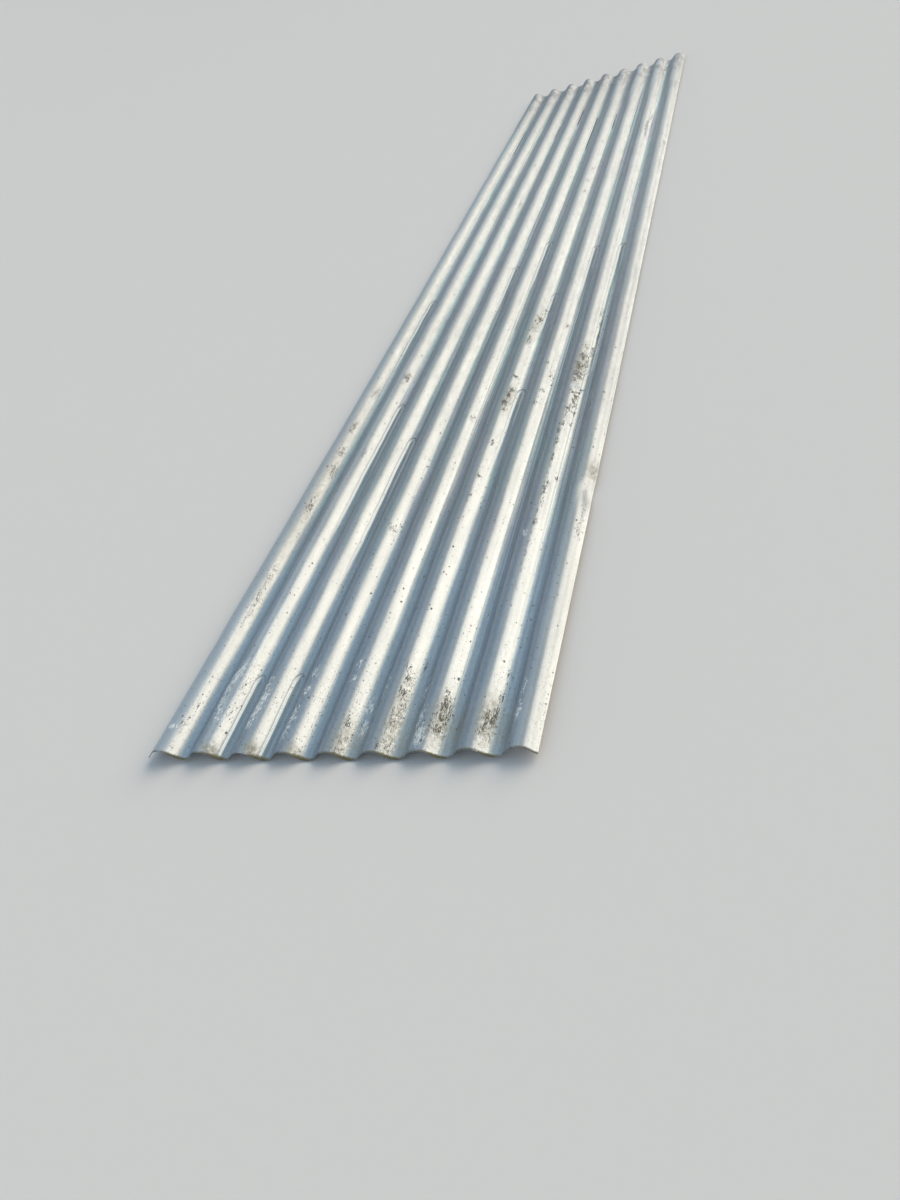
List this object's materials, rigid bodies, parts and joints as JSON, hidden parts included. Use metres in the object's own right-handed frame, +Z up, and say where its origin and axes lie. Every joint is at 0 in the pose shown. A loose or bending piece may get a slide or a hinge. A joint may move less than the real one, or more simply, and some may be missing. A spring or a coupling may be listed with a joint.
{
  "type": "corrugated metal sheet",
  "caption": "Long rectangular sheet of galvanised steel rolled into even round waves from side to side, cut square, with both side edges turned down.",
  "frame": {"origin": "middle of the sheet's footprint, at the level of the ground it lies on", "axes": "+X across the waves, +Y along the sheet's length, +Z up out of the crests"},
  "size_m": [0.665, 3.658, 0.0194],
  "materials": {
    "galvanised_steel": "satin"
  },
  "bodies": {
    "root": {"corrugated_sheet": "galvanised_steel"}
  },
  "joints": []
}
